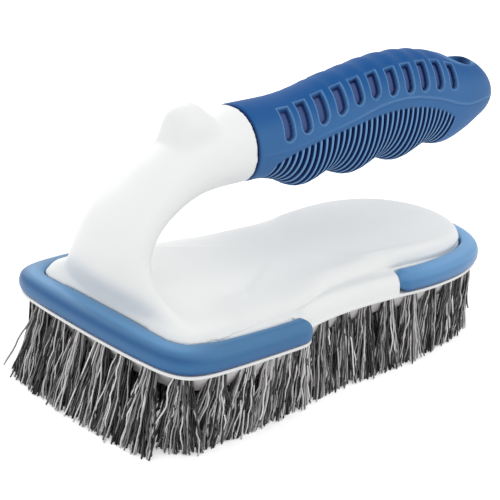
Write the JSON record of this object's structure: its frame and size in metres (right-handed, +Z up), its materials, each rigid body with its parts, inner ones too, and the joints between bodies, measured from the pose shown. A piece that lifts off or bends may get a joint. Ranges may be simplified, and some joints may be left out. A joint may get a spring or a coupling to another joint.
{
  "type": "pool hand brush",
  "caption": "Hand scrub brush with a goose-neck handle, a soft ribbed grip, edge bumpers on a waisted deck and flared tufts of grey bristle.",
  "frame": {"origin": "middle of the whole brush's box, on the plane of the bristle tips that it stands on", "axes": "+X from the nose under the neck to the grip's free end, +Z up out of the bristles"},
  "size_m": [0.1948, 0.0942, 0.1049],
  "materials": {
    "white_moulding": "satin white polypropylene",
    "white_block": "satin white polypropylene",
    "blue_grip": "matte moulded soft rubber",
    "blue_bumper": "satin soft rubber",
    "grey_bristle": "crimped nylon filament"
  },
  "bodies": {
    "root": {"handle_moulding": "white_moulding", "tuft_block": "white_block", "grip_sleeve": "blue_grip", "front_bumper": "blue_bumper", "rear_bumper": "blue_bumper", "outer_tufts_1": "grey_bristle", "outer_tufts_2": "grey_bristle", "outer_tufts_3": "grey_bristle", "outer_tufts_4": "grey_bristle", "outer_tufts_5": "grey_bristle", "outer_tufts_6": "grey_bristle", "outer_tufts_7": "grey_bristle", "outer_tufts_8": "grey_bristle", "inner_tufts_1": "grey_bristle", "inner_tufts_2": "grey_bristle", "inner_tufts_3": "grey_bristle", "inner_tufts_4": "grey_bristle", "inner_tufts_5": "grey_bristle"}
  },
  "joints": []
}
